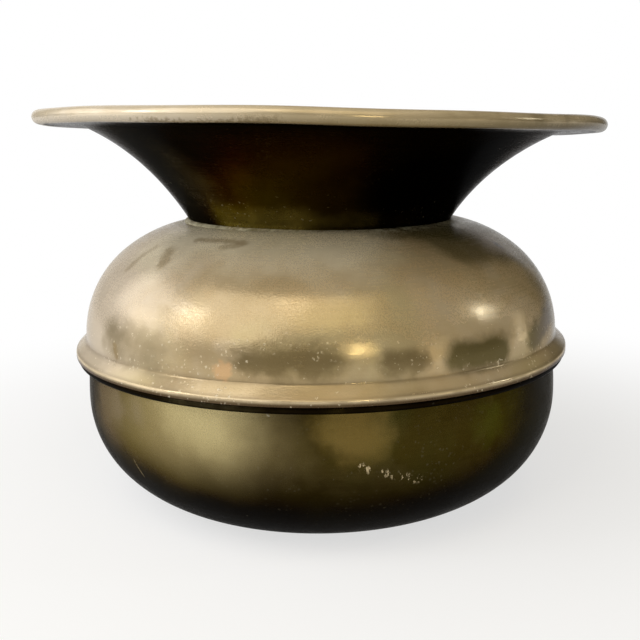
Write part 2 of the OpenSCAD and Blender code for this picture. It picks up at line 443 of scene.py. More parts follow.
class Sheet:
    """A material's node tree, with short words for the nodes that the finishes use."""

    def __init__(self, name: str) -> None:
        """Starts an empty material.

        Args:
            name: the material's name.
        """
        self.material = bpy.data.materials.new(name)
        self.material.use_nodes = True
        self.tree = self.material.node_tree
        self.tree.nodes.clear()
        self.shader = self.tree.nodes.new("ShaderNodeBsdfPrincipled")
        self.output = self.tree.nodes.new("ShaderNodeOutputMaterial")
        self.tree.links.new(self.shader.outputs["BSDF"], self.output.inputs["Surface"])
        self.place = self.tree.nodes.new("ShaderNodeTexCoord").outputs["Object"]

    def feed(self, socket: Socket, value: Socket | float | Colour) -> None:
        """Links a socket to another, or sets it to a value.

        Args:
            socket: the input.
            value: an output, a number or a colour.
        """
        if isinstance(value, bpy.types.NodeSocket):
            self.tree.links.new(value, socket)
        elif isinstance(value, tuple) and socket.type == "RGBA":
            socket.default_value = (*value, 1.0)
        else:
            socket.default_value = value

    def sum(self, operation: str, a: Socket | float, b: Socket | float = 0.0) -> Socket:
        """Does arithmetic on one or two numbers.

        Args:
            operation: the name of the Math node's operation.
            a: the first number.
            b: the second number.

        Returns:
            The result's socket.
        """
        node = self.tree.nodes.new("ShaderNodeMath")
        node.operation = operation
        self.feed(node.inputs[0], a)
        self.feed(node.inputs[1], b)
        return node.outputs[0]

    def between(
        self,
        value: Socket,
        low: Socket | float,
        high: Socket | float,
        bottom: float = 0.0,
        top: float = 1.0,
    ) -> Socket:
        """Maps a range smoothly to another and holds it there.

        Args:
            value: the number to map.
            low: where the result is at its bottom.
            high: where the result is at its top.
            bottom: the result at low.
            top: the result at high.

        Returns:
            The result's socket.
        """
        node = self.tree.nodes.new("ShaderNodeMapRange")
        node.interpolation_type = "SMOOTHSTEP"
        self.feed(node.inputs["Value"], value)
        self.feed(node.inputs["From Min"], low)
        self.feed(node.inputs["From Max"], high)
        self.feed(node.inputs["To Min"], bottom)
        self.feed(node.inputs["To Max"], top)
        return node.outputs["Result"]

    def noise(self, pattern: Pattern, place: Socket | None = None) -> Socket:
        """Adds a noise over the surface.

        Args:
            pattern: the noise's pattern.
            place: the coordinate to use, or None for the place on the object.

        Returns:
            The noise's socket, about 0.5 on average.
        """
        node = self.tree.nodes.new("ShaderNodeTexNoise")
        self.feed(node.inputs["Vector"], place or self.place)
        self.feed(node.inputs["Scale"], pattern.scale)
        self.feed(node.inputs["Detail"], pattern.detail)
        self.feed(node.inputs["Roughness"], pattern.rough)
        self.feed(node.inputs["Distortion"], pattern.twist)
        return node.outputs["Fac"]

    def vector(
        self, operation: str, a: Socket | Triple, b: Socket | Triple | float = (0.0, 0.0, 0.0)
    ) -> Socket:
        """Does arithmetic on vectors.

        Args:
            operation: the name of the Vector Math node's operation.
            a: the first vector.
            b: the second vector, or the number that SCALE multiplies by.

        Returns:
            The result's socket.
        """
        node = self.tree.nodes.new("ShaderNodeVectorMath")
        node.operation = operation
        self.feed(node.inputs[0], a)
        self.feed(node.inputs["Scale"] if operation == "SCALE" else node.inputs[1], b)
        as_number = operation in ("LENGTH", "DISTANCE", "DOT_PRODUCT")
        return node.outputs["Value" if as_number else "Vector"]

    def specks(self, kind: Specks) -> Socket:
        """Scatters small ragged specks of different sizes.

        Args:
            kind: how the specks lie.

        Returns:
            The share of a speck at each place.
        """
        ragged = self.tree.nodes.new("ShaderNodeTexNoise")
        self.feed(ragged.inputs["Vector"], self.place)
        self.feed(ragged.inputs["Scale"], 3.0 * kind.scale)
        shift = self.vector("SCALE", ragged.outputs["Color"], 0.9 / kind.scale)
        cell = self.tree.nodes.new("ShaderNodeTexVoronoi")
        self.feed(cell.inputs["Vector"], self.vector("ADD", self.place, shift))
        self.feed(cell.inputs["Scale"], kind.scale)
        split = self.tree.nodes.new("ShaderNodeSeparateColor")
        self.feed(split.inputs["Color"], cell.outputs["Color"])
        there = self.between(split.outputs["Red"], 1.0 - kind.share, 1.0 - 0.9 * kind.share)
        small = self.between(split.outputs["Green"], 0.0, 1.0, bottom=0.35)
        reach = self.sum("MULTIPLY", small, kind.size)
        body = self.between(cell.outputs["Distance"], reach, self.sum("MULTIPLY", reach, 0.5))
        return self.sum("MULTIPLY", there, body)

    def beside(self, start: Triple, end: Triple) -> Socket:
        """Measures how far each place lies from a straight line.

        Args:
            start: the line's first end, in the row frame.
            end: its other end.

        Returns:
            The distance's socket.
        """
        along = tuple(last - first for first, last in zip(start, end))
        length = sum(step * step for step in along)
        from_start = self.vector("SUBTRACT", self.place, start)
        share = self.sum("DIVIDE", self.vector("DOT_PRODUCT", from_start, along), length)
        share.node.use_clamp = True
        return self.vector("DISTANCE", from_start, self.vector("SCALE", along, share))

    def stretched(self, scale: Triple, turn: float = 0.0) -> Socket:
        """Gives the place on the object stretched along its axes, for streaks and lines.

        Args:
            scale: the scale along X, Y and Z.
            turn: how far the object is turned about Y first, in degrees.

        Returns:
            The coordinate's socket.
        """
        node = self.tree.nodes.new("ShaderNodeMapping")
        self.feed(node.inputs["Vector"], self.place)
        self.feed(node.inputs["Rotation"], (0.0, math.radians(turn), 0.0))
        self.feed(node.inputs["Scale"], scale)
        return node.outputs["Vector"]

    def round_place(self, around: float) -> Socket:
        """Gives a coordinate whose features run round the axis, as a spinning tool's marks do.

        Args:
            around: how fast the marks change on their way round.

        Returns:
            The coordinate's socket.
        """
        split = self.tree.nodes.new("ShaderNodeSeparateXYZ")
        self.feed(split.inputs[0], self.place)
        flat = self.tree.nodes.new("ShaderNodeCombineXYZ")
        self.feed(flat.inputs["X"], split.outputs["X"])
        self.feed(flat.inputs["Y"], split.outputs["Y"])
        turn = self.sum("ARCTAN2", split.outputs["Y"], split.outputs["X"])
        wrapped = self.sum("MULTIPLY", self.sum("SINE", turn), around)
        joined = self.tree.nodes.new("ShaderNodeCombineXYZ")
        self.feed(joined.inputs["X"], self.vector("LENGTH", flat.outputs[0]))
        self.feed(joined.inputs["Y"], split.outputs["Z"])
        self.feed(joined.inputs["Z"], wrapped)
        return joined.outputs[0]

    def height(self) -> Socket:
        """Reads the height of the place on the object.

        Returns:
            The height's socket.
        """
        split = self.tree.nodes.new("ShaderNodeSeparateXYZ")
        self.feed(split.inputs[0], self.place)
        return split.outputs["Z"]

    def layer(self, name: str) -> Socket:
        """Reads a value that the mesh carries.

        Args:
            name: the name that the mesh carries it under.

        Returns:
            The value's socket.
        """
        node = self.tree.nodes.new("ShaderNodeAttribute")
        node.attribute_name = name
        return node.outputs["Fac"]

    def mix(
        self, share: Socket | float, a: Socket | Colour, b: Socket | Colour, how: str = "MIX"
    ) -> Socket:
        """Mixes two colours.

        Args:
            share: how much of the second colour shows.
            a: the first colour.
            b: the second colour.
            how: the Mix node's blend type.

        Returns:
            The mixed colour's socket.
        """
        node = self.tree.nodes.new("ShaderNodeMix")
        node.data_type = "RGBA"
        node.blend_type = how
        self.feed(node.inputs["Factor"], share)
        self.feed(node.inputs[6], a)
        self.feed(node.inputs[7], b)
        return node.outputs[2]

    def bump(
        self, height: Socket, distance: float, strength: float = 1.0, below: Socket | None = None
    ) -> Socket:
        """Raises the surface by a height.

        Args:
            height: the height, from 0 to 1.
            distance: how high 1 stands, in metres.
            strength: how much of it shows.
            below: the relief that this one lies on, if any.

        Returns:
            The normal's socket.
        """
        node = self.tree.nodes.new("ShaderNodeBump")
        self.feed(node.inputs["Height"], height)
        self.feed(node.inputs["Distance"], distance)
        self.feed(node.inputs["Strength"], strength)
        if below is not None:
            self.feed(node.inputs["Normal"], below)
        return node.outputs["Normal"]


class Layer(Enum):
    """The layers of wear, dirt and painted shade that a piece's mesh carries."""

    WORN = "worn"
    GRIME_AND_SHADE = "grime_and_shade"
    FLUX = "flux"


@dataclass(frozen=True)
class Place:
    """A place on a shell, in millimetres and degrees round the axis."""

    azimuth: float
    radius: float
    height: float

    def point(self) -> Triple:
        """Finds the place in the row frame.

        Returns:
            The place, in metres.
        """
        turn = math.radians(self.azimuth)
        return (
            self.radius * math.cos(turn) * MM,
            self.radius * math.sin(turn) * MM,
            self.height * MM,
        )


@dataclass(frozen=True)
class Mark:
    """A soft mark of another colour on a shell, round or drawn out along a line.

    Its width is in millimetres. The ragged edge and the full core are shares of the width.
    """

    start: Place
    width: float
    colour: Colour
    share: float = 0.6
    end: Place | None = None
    ragged: float = 0.25
    core: float = 0.15


@dataclass(frozen=True)
class Stroke:
    """A line in the surface of a shell, its width in millimetres: a scratch or a chain of scuffs."""

    start: Place
    end: Place
    width: float


FLECKS = Pattern(70.0, 6.0, 0.62, 0.4)
RINGS = Pattern(1.0, 3.0, 0.6)
CLOUDS = Pattern(11.0, 5.0, 0.55, 0.8)
BLOOMS = Pattern(24.0, 5.0, 0.6, 1.2)
OLIVE_SMEARS = Pattern(17.0, 3.0, 0.5, 0.5)
STAINS = Pattern(34.0, 3.0, 0.5, 1.2)
CRUST_GRAINS = Pattern(330.0, 4.0, 0.7)
GLINTS = Pattern(1900.0, 1.0)
UNEVENNESS = Pattern(30.0, 2.0, 0.5)
SKIN_GRAIN = Pattern(1700.0, 1.0)
LOW_SHADE_NOISE = Pattern(16.0, 4.0, 0.6)
DUST_CLUSTERS = Pattern(38.0, 3.0, 0.6)
FAINT_STRETCHES = Pattern(900.0, 1.0)
TORN_METAL = Pattern(520.0, 3.0, 0.7)
SOLDER_LUMPS = Pattern(380.0, 5.0, 0.7, 0.3)
SOLDER_PATCHES = Pattern(60.0, 4.0, 0.6)
SOLDER_PITS = Pattern(1500.0, 2.0)
PAPER_CLOUDS = Pattern(3.0)

# How much the spinning marks wander on their way round, and how many there are in a metre
RING_WANDER = 0.004
RING_SCALE: Triple = (820.0, 820.0, 300.0)

DUST_POWDER = Specks(620.0, 0.42, 0.5)
DUST_GRAINS = Specks(400.0, 0.21, 0.42)
STRAY_SPECKS = Specks(90.0, 0.075, 0.35)


@dataclass(frozen=True)
class TarnishedBrass:
    """Spun brass that has not been polished for decades."""

    name: str
    tarnish: Colour
    tarnish_deep: Colour
    bloom: Colour
    olive: Colour
    bright: Colour = (0.62, 0.50, 0.30)
    # The colour of dirt and of painted shade, wherever the grime layer or the darkening low down asks for
    # it
    grime_and_shade: Colour = (0.030, 0.017, 0.008)
    dust: Colour = (0.62, 0.58, 0.46)
    flux: Colour = (0.58, 0.54, 0.38)
    edge_tint: Colour = (0.42, 0.34, 0.20)
    sheen_level: float = 0.12
    metal: float = 0.5
    rough: float = 0.30
    rough_spread: float = 0.10
    low_gloss: float = 0.0
    glint: float = 0.30
    grain: float = 0.08 * MM
    bloom_share: float = 0.5
    dust_share: float = 0.6
    dust_low: float = 0.078
    dust_high: float = 0.100
    # Heights between which the painted shade low down fades: full below the first, none above the second
    painted_shade_to: float = -1.0
    painted_shade_from: float = -0.9
    dirt_and_shade_rough: float = 0.08
    worn_smooth: float = 0.08
    dusty_rough: float = 0.35
    unevenness: float = 0.5 * MM
    ring_depth: float = 0.05 * MM
    crust_height: float = 0.10 * MM
    marks: tuple[Mark, ...] = ()
    scratches: tuple[Stroke, ...] = ()
    scuffs: tuple[Stroke, ...] = ()

    def make(self) -> Material:
        """Builds the finish.

        Returns:
            The material.
        """
        s = Sheet(self.name)
        fleck = s.noise(FLECKS)
        rings = s.noise(RINGS, self._ring_place(s))
        dirt_and_shade = self._dirt_and_shade(s, fleck)
        worn = s.sum("MULTIPLY", s.layer(Layer.WORN.value), s.between(fleck, 0.30, 0.60, bottom=0.45))
        caked = s.between(s.noise(CRUST_GRAINS), 0.40, 0.60)
        crust = s.sum("MULTIPLY", s.layer(Layer.FLUX.value), caked)
        dusty = self._dusty(s)
        lines = self._scratched(s)

        colour = self._tarnished(s, fleck, rings)
        colour = s.mix(dirt_and_shade, colour, self.grime_and_shade)
        colour = s.mix(worn, colour, self.bright)
        colour = s.mix(crust, colour, self.flux)
        colour = s.mix(lines, colour, self.bright)
        colour = s.mix(dusty, colour, self.dust)
        s.feed(s.shader.inputs["Base Color"], colour)

        half = self.rough_spread / 2.0
        covered = s.sum("MAXIMUM", dusty, crust)
        rough = s.between(fleck, 0.3, 0.7, bottom=self.rough - half, top=self.rough + half)
        rough = s.sum("ADD", rough, s.between(rings, 0.3, 0.7, bottom=-0.02, top=0.03))
        rough = s.sum("ADD", rough, s.sum("MULTIPLY", dirt_and_shade, self.dirt_and_shade_rough))
        rough = s.sum("SUBTRACT", rough, s.sum("MULTIPLY", worn, self.worn_smooth))
        glossy = s.between(s.height(), self.dust_low, self.dust_high, bottom=self.low_gloss, top=0.0)
        rough = s.sum("SUBTRACT", rough, glossy)
        rough = s.sum("ADD", rough, s.sum("MULTIPLY", covered, self.dusty_rough))
        glint = s.between(s.noise(GLINTS), 0.50, 0.58, top=self.glint)
        rough = s.sum("MULTIPLY", rough, s.sum("SUBTRACT", 1.0, glint))
        s.feed(s.shader.inputs["Roughness"], rough)
        film = s.sum("MAXIMUM", s.sum("MULTIPLY", dusty, 0.9), s.sum("MULTIPLY", crust, 0.75))
        s.feed(s.shader.inputs["Metallic"], s.between(film, 0.0, 1.0, bottom=self.metal, top=0.1))
        s.shader.inputs["Specular IOR Level"].default_value = self.sheen_level
        s.shader.inputs["Specular Tint"].default_value = (*self.edge_tint, 1.0)

        relief = s.bump(s.noise(UNEVENNESS), self.unevenness, 0.35)
        relief = s.bump(rings, self.ring_depth, 0.20, relief)
        relief = s.bump(s.noise(SKIN_GRAIN), self.grain, 0.6, relief)
        raised = s.sum("ADD", covered, s.sum("MULTIPLY", lines, -0.5))
        s.feed(s.shader.inputs["Normal"], s.bump(raised, self.crust_height, 0.8, relief))
        return s.material

    def _tarnished(self, s: Sheet, fleck: Socket, rings: Socket) -> Socket:
        """Mixes the colour of the tarnish, with its clouds, stains and smears.

        Args:
            s: the material's sheet.
            fleck: the fine mottling.
            rings: the marks of the spinning tool.

        Returns:
            The colour's socket.
        """
        colour = s.mix(s.between(s.noise(CLOUDS), 0.36, 0.64), self.tarnish_deep, self.tarnish)
        bloom = s.between(s.noise(BLOOMS), 0.45, 0.66, top=self.bloom_share)
        colour = s.mix(bloom, colour, self.bloom)
        smears = s.between(s.noise(OLIVE_SMEARS), 0.50, 0.68, top=0.6)
        colour = s.mix(smears, colour, self.olive)
        stains = s.between(s.noise(STAINS), 0.60, 0.66, top=0.22)
        colour = s.mix(stains, colour, self.tarnish_deep)
        colour = s.mix(s.between(fleck, 0.35, 0.75, top=0.25), colour, self.bright, "MULTIPLY")
        colour = s.mix(s.between(rings, 0.42, 0.70, top=0.12), colour, self.tarnish_deep)
        for mark in self.marks:
            colour = s.mix(self._marked(s, mark), colour, mark.colour)
        return colour

    def _marked(self, s: Sheet, mark: Mark) -> Socket:
        """Finds one mark, with a ragged edge.

        Args:
            s: the material's sheet.
            mark: the mark.

        Returns:
            The mark's share at each place.
        """
        middle = mark.start.point()
        gap = s.beside(middle, mark.end.point()) if mark.end else s.vector("DISTANCE", s.place, middle)
        width = mark.width * MM
        edge = s.noise(Pattern(1.6 / width, 3.0, 0.5))
        ragged = mark.ragged * width
        gap = s.sum("ADD", gap, s.between(edge, 0.25, 0.75, bottom=-ragged, top=ragged))
        return s.between(gap, mark.core * width, width, bottom=mark.share, top=0.0)

    def _dirt_and_shade(self, s: Sheet, fleck: Socket) -> Socket:
        """Finds where dirt has settled, and where shade is painted in corners, under edges and low down.

        Args:
            s: the material's sheet.
            fleck: the fine mottling.

        Returns:
            The share of dirt at each place.
        """
        dirt_and_shade = s.sum("MULTIPLY", s.layer(Layer.GRIME_AND_SHADE.value), s.between(fleck, 0.25, 0.6, bottom=0.92))
        # Painted shade: darker towards the bottom, with a little noise in it
        low = s.between(s.height(), self.painted_shade_to, self.painted_shade_from, bottom=1.0, top=0.0)
        low = s.sum("MULTIPLY", low, s.between(s.noise(LOW_SHADE_NOISE), 0.3, 0.7, bottom=1.0, top=0.85))
        return s.sum("MAXIMUM", dirt_and_shade, low)

    def _dusty(self, s: Sheet) -> Socket:
        """Finds the grains of dust: clusters above the belt, and a few anywhere.

        Args:
            s: the material's sheet.

        Returns:
            The share of dust at each place.
        """
        zone = s.between(s.height(), self.dust_low, self.dust_high, bottom=1.0, top=0.10)
        cluster = s.between(s.noise(DUST_CLUSTERS), 0.44, 0.62)
        powder = s.sum("MULTIPLY", s.specks(DUST_POWDER), s.sum("MULTIPLY", cluster, zone))
        grains = s.sum("MULTIPLY", s.specks(DUST_GRAINS), s.sum("MULTIPLY", zone, 0.9))
        dusty = s.sum("MAXIMUM", s.sum("MAXIMUM", powder, grains), s.specks(STRAY_SPECKS))
        return s.sum("MULTIPLY", dusty, self.dust_share)

    def _scratched(self, s: Sheet) -> Socket:
        """Finds the scratches and scuffs.

        Args:
            s: the material's sheet.

        Returns:
            The share of a scratch at each place.
        """
        lines: Socket | float = 0.0
        faint = s.between(s.noise(FAINT_STRETCHES), 0.35, 0.6, bottom=0.25, top=0.8)
        for scratch in self.scratches:
            mark = s.sum("MULTIPLY", self._stroked(s, scratch, 0.3), faint)
            lines = s.sum("MAXIMUM", lines, mark)
        for scuff in self.scuffs:
            torn = s.between(s.noise(TORN_METAL, s.stretched((1.0, 1.0, 0.5), 30.0)), 0.56, 0.64)
            mark = s.sum("MULTIPLY", self._stroked(s, scuff, 0.2), torn)
            lines = s.sum("MAXIMUM", lines, s.sum("MULTIPLY", mark, 0.8))
        return lines

    def _stroked(self, s: Sheet, stroke: Stroke, core: float) -> Socket:
        """Finds one stroke.

        Args:
            s: the material's sheet.
            stroke: the stroke.
            core: the share of its width within which it is full.

        Returns:
            The stroke's share at each place.
        """
        gap = s.beside(stroke.start.point(), stroke.end.point())
        width = stroke.width * MM
        return s.between(gap, core * width, width, bottom=1.0, top=0.0)

    def _ring_place(self, s: Sheet) -> Socket:
        """Scales the coordinate of the spinning marks.

        Args:
            s: the material's sheet.

        Returns:
            The coordinate's socket.
        """
        node = s.tree.nodes.new("ShaderNodeMapping")
        s.feed(node.inputs["Vector"], s.round_place(RING_WANDER))
        s.feed(node.inputs["Scale"], RING_SCALE)
        return node.outputs["Vector"]


@dataclass(frozen=True)
class CrustedSolder:
    """Old soft solder, grey under a green and white crust."""

    name: str = "crusted_solder"
    metal: Colour = (0.36, 0.31, 0.19)
    crust: Colour = (0.68, 0.62, 0.46)
    green: Colour = (0.50, 0.46, 0.30)
    grime_and_shade: Colour = (0.016, 0.012, 0.006)
    rough: float = 0.62

    def make(self) -> Material:
        """Builds the finish.

        Returns:
            The material.
        """
        s = Sheet(self.name)
        lumps = s.noise(SOLDER_LUMPS)
        colour = s.mix(s.between(lumps, 0.40, 0.62), self.metal, self.crust)
        colour = s.mix(s.between(s.noise(SOLDER_PATCHES), 0.42, 0.66, top=0.8), colour, self.green)
        colour = s.mix(s.layer(Layer.GRIME_AND_SHADE.value), colour, self.grime_and_shade)
        rough = s.between(lumps, 0.3, 0.7, bottom=self.rough - 0.15, top=self.rough + 0.2)
        s.feed(s.shader.inputs["Base Color"], colour)
        s.feed(s.shader.inputs["Metallic"], s.between(lumps, 0.36, 0.6, bottom=0.8, top=0.05))
        s.feed(s.shader.inputs["Roughness"], rough)
        relief = s.bump(lumps, 0.5 * MM, 0.7)
        relief = s.bump(s.noise(SOLDER_PITS), 0.08 * MM, 0.6, relief)
        s.feed(s.shader.inputs["Normal"], relief)
        return s.material


@dataclass(frozen=True)
class RoughIron:
    """Iron as cast or drawn, with a film of rust."""

    name: str
    dark: Colour = (0.055, 0.050, 0.046)
    rust: Colour = (0.15, 0.065, 0.028)
    scale: float = 90.0
    rough: float = 0.66

    def make(self) -> Material:
        """Builds the finish.

        Returns:
            The material.
        """
        s = Sheet(self.name)
        sand = s.noise(Pattern(12.0 * self.scale, 3.0, 0.6))
        film = s.noise(Pattern(self.scale, 6.0, 0.65, 0.6))
        rusty = s.between(film, 0.46, 0.66)
        colour = s.mix(rusty, self.dark, self.rust)
        colour = s.mix(s.between(sand, 0.3, 0.7, top=0.3), colour, self.dark, "MULTIPLY")
        rough = s.between(film, 0.4, 0.7, bottom=self.rough - 0.12, top=self.rough + 0.2)
        s.feed(s.shader.inputs["Base Color"], colour)
        s.feed(s.shader.inputs["Metallic"], s.between(film, 0.46, 0.66, bottom=0.75, top=0.1))
        s.feed(s.shader.inputs["Roughness"], rough)
        s.feed(s.shader.inputs["Normal"], s.bump(sand, 0.15 * MM, 0.6))
        return s.material


PALE_PINK: Colour = (0.76, 0.68, 0.56)
PINK: Colour = (0.69, 0.595, 0.475)
DULL_PINK: Colour = (0.30, 0.24, 0.16)
GOLD: Colour = (0.60, 0.50, 0.25)
DULL_GOLD: Colour = (0.30, 0.235, 0.105)
FOOT_GOLD: Colour = (0.30, 0.245, 0.06)
WARM_GOLD: Colour = (0.24, 0.165, 0.045)
ORANGE: Colour = (0.72, 0.46, 0.24)
OLIVE: Colour = (0.36, 0.31, 0.18)
SHADY_OLIVE: Colour = (0.20, 0.16, 0.085)
DEEP_OLIVE: Colour = (0.13, 0.105, 0.045)
DARK_OLIVE: Colour = (0.11, 0.090, 0.030)
MOSSY: Colour = (0.060, 0.060, 0.008)
BROWN: Colour = (0.30, 0.22, 0.11)
DUSTY_BROWN: Colour = (0.28, 0.225, 0.135)
DARK_BROWN: Colour = (0.17, 0.125, 0.055)
OLD_BROWN: Colour = (0.10, 0.075, 0.030)
RIM_BROWN: Colour = (0.050, 0.040, 0.020)
PAINTED_LIGHT_BEIGE: Colour = (0.84, 0.75, 0.55)
CRUST_WHITE: Colour = (0.80, 0.77, 0.60)
DUSKY: Colour = (0.115, 0.105, 0.075)
NEAR_BLACK: Colour = (0.003, 0.0016, 0.0005)
GREY_SOLDER: Colour = (0.05, 0.045, 0.03)
GREY_CRUST: Colour = (0.10, 0.09, 0.06)
GREY_GREEN: Colour = (0.06, 0.06, 0.03)


def dress(piece: bpy.types.Object, slot: str, *finishes: Material) -> None:
    """Gives a piece its finishes.

    Args:
        piece: the piece, or a node of the frame.
        slot: the record's material slot; not used.
        finishes: the materials of the outer and then the inner face.
    """
    mesh = piece.data
    sides = np.zeros(len(mesh.polygons), np.int32)
    mesh.polygons.foreach_get("material_index", sides)
    mesh.materials.clear()
    for finish in finishes:
        mesh.materials.append(finish)
    # Clearing the materials sends every face back to the first one
    mesh.polygons.foreach_set("material_index", np.minimum(sides, len(finishes) - 1))


def stand_for(piece: bpy.types.Object, *nodes: str) -> None:
    """Makes a piece ride on the body and stand for nodes of the frame.

    Args:
        piece: the new piece.
        nodes: the nodes that it replaces.
    """
    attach(piece, BODY)
    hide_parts(*nodes)
    LOG.info("%s stands for %s, %d faces", piece.name, ", ".join(nodes), len(piece.data.polygons))


@dataclass
class Shoulder:
    """The upper shell: a dome with a collar at the neck and a skirt at the belt."""

    sheet: float = 0.8 * MM
    belt_r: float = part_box("shoulder_shell")[1].x
    belt_z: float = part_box("shoulder_shell")[0].z
    skirt_out: float = 4.8 * MM
    skirt_edge_h: float = 1.6 * MM
    skirt_lean: float = 45.0
    hollow_r: float = 2.0 * MM
    bend_r: float = 1.6 * MM
    side_rise: float = 6.9 * MM
    side_r: float = 48.7 * MM
    crown_r: float = 61.4 * MM
    crown_start: float = 52.0
    collar_r: float = 60.65 * MM
    collar_h: float = 5.0 * MM
    crest_turn: float = 14.0
    above_crest_turn: float = 48.0
    edge_grime_and_shade_h: float = 1.1 * MM
    powder_out: float = 2.0 * MM
    powder_up: float = 1.2 * MM

    def __post_init__(self) -> None:
        """Works out the centres of the outline's arcs."""
        self.side_c = (self.belt_r - self.skirt_out - self.side_r, self.belt_z + self.side_rise)
        self.crown_c = polar(self.side_c, self.side_r - self.crown_r, self.crown_start)
        bend_x = self.collar_r + self.bend_r
        rise = math.sqrt((self.crown_r - self.bend_r) ** 2 - (bend_x - self.crown_c[0]) ** 2)
        self.collar_c = (bend_x, self.crown_c[1] + rise)
        self.skirt_c = (self.belt_r - self.bend_r, self.belt_z + self.skirt_edge_h)
        low = polar(self.skirt_c, self.bend_r, self.skirt_lean)
        lean = math.radians(self.skirt_lean)
        across = math.cos(lean) * (low[0] - self.side_c[0]) + math.sin(lean) * (low[1] - self.side_c[1])
        reach = (across + self.hollow_r) / (self.side_r + self.hollow_r)
        self.side_end = self.skirt_lean - math.degrees(math.acos(reach))
        self.hollow_c = polar(self.side_c, self.side_r + self.hollow_r, self.side_end)

    def outline(self) -> Outline:
        """Draws the sheet's outline from the collar to the skirt's edge.

        Returns:
            The outline of the sheet's outer face.
        """
        crown_end = heading(self.crown_c, self.collar_c)
        return Outline((
            Arc((self.collar_c[0], self.collar_c[1] - self.collar_h), self.bend_r, 180.0, 180.0, -1),
            Arc(self.collar_c, self.bend_r, 180.0, crown_end, -1),
            Arc(self.crown_c, self.crown_r, crown_end, self.crown_start, -1),
            Arc(self.side_c, self.side_r, self.crown_start, self.side_end, -1),
            Arc(self.hollow_c, self.hollow_r, 180.0 + self.side_end, 180.0 + self.skirt_lean, 1),
            Arc(self.skirt_c, self.bend_r, self.skirt_lean, 0.0, -1),
            Arc((self.skirt_c[0], self.belt_z), self.bend_r, 0.0, 0.0, -1),
        ), self.sheet)

    def build(self, wear: HandWear, outside: Material, inside: Material) -> None:
        """Makes the shoulder and dresses it.

        Args:
            wear: what use did to the form.
            outside: the finish of the outer face.
            inside: the finish of the inner face.
        """
        walk, marks = self.outline().walk()
        crest = polar(self.skirt_c, self.bend_r, self.crest_turn)
        above_crest = polar(self.skirt_c, self.bend_r, self.above_crest_turn)
        hollow = polar(self.hollow_c, self.hollow_r, 180.0 + self.skirt_lean / 2)
        powder = (self.collar_c[0] + self.powder_out, self.collar_c[1] + self.powder_up)
        layers = {
            Layer.WORN.value: gather(walk, (Trace(crest, 0.35 * MM),)),
            # Darker in the hollow and at the collar joint; a painted shade line above the crest; dark
            # patina and painted shade on the skirt's edge below it
            Layer.GRIME_AND_SHADE.value: gather(walk, (
                Trace(hollow, 0.8 * MM, 0.30),
                Trace(self.collar_c, 1.5 * MM, 0.9),
                Trace(above_crest, 0.35 * MM, 0.35),
                Trace((self.belt_r, self.belt_z), 0.9 * MM),
                Trace((self.belt_r, self.belt_z + self.edge_grime_and_shade_h), 0.62 * MM),
            )),
            Layer.FLUX.value: gather(walk, (Trace(powder, 2.6 * MM, 0.7),)),
        }
        piece = Turned("shoulder").build(walk, marks, layers, wear)
        dress(piece, "shoulder_brass", outside, inside)
        stand_for(piece, "shoulder_shell")


@dataclass
class Bowl:
    """The lower shell: a flat base, a round side and a curled edge inside the skirt."""

    sheet: float = 0.8 * MM
    belt_r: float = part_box("shoulder_shell")[1].x
    belt_z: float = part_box("shoulder_shell")[0].z
    inset: float = 4.6 * MM
    side_r: float = 48.1 * MM
    wall_r: float = 120.0 * MM
    bend_r: float = 1.0 * MM
    curl_r: float = 1.0 * MM
    curl_show: float = 3.3 * MM
    lap_gap: float = 0.1 * MM
    curl_stop: float = 14.0
    push_up: float = 2.5 * MM
    push_up_r: float = 40.0 * MM
    push_up_slope: float = 4.0 * MM

    def __post_init__(self) -> None:
        """Works out the centres of the outline's arcs."""
        wide = self.belt_r - self.inset
        self.side_c = (wide - self.side_r, self.side_r)
        self.curl_out = self.curl_r + self.sheet
        self.curl_c = (
            self.belt_r - self.sheet - self.lap_gap - self.curl_out,
            self.belt_z - self.curl_show + self.curl_out,
        )
        self.wall_c = (wide - self.wall_r, self.side_r)
        rise = self.curl_c[1] - self.curl_out - self.bend_r - self.wall_c[1]
        self.wall_end = math.degrees(math.asin(rise / (self.wall_r + self.bend_r)))
        self.bend_c = polar(self.wall_c, self.wall_r + self.bend_r, self.wall_end)
        open_turn = math.degrees(math.asin(self.curl_r / self.curl_out))
        self.curl_end = 180.0 + open_turn - self.curl_stop

    def outline(self) -> Outline:
        """Draws the sheet's outline from the middle of the base to the end of the curl.

        Returns:
            The outline of the sheet's outer face.
        """
        return Outline((
            floor_corner(0.0, self.push_up),
            floor_corner(self.push_up_r - self.push_up_slope, self.push_up),
            floor_corner(self.push_up_r, 0.0),
            Arc(self.side_c, self.side_r, -90.0, 0.0, -1),
            Arc(self.wall_c, self.wall_r, 0.0, self.wall_end, -1),
            Arc(self.bend_c, self.bend_r, 180.0 + self.wall_end, 90.0, 1),
            Arc(self.curl_c, self.curl_out, -90.0, self.curl_end, -1),
        ), self.sheet)

    def build(self, wear: HandWear, outside: Material, inside: Material) -> None:
        """Makes the bowl and dresses it.

        Args:
            wear: what use did to the form.
            outside: the finish of the outer face.
            inside: the finish of the inner face.
        """
        walk, marks = self.outline().walk()
        layers = {
            Layer.WORN.value: gather(walk, (Trace((self.side_c[0], 0.0), 2.4 * MM, 0.8),)),
            # Painted shade on the curl, which lies under the skirt
            Layer.GRIME_AND_SHADE.value: gather(walk, tuple(
                Trace(polar(self.curl_c, self.curl_out, angle), 1.2 * MM) for angle in range(-60, 61, 20)
            )),
            Layer.FLUX.value: np.zeros(len(walk)),
        }
        piece = Turned("bowl", closed=False).build(walk, marks, layers, wear)
        dress(piece, "bowl_brass", outside, inside)
        stand_for(piece, "bowl_shell")


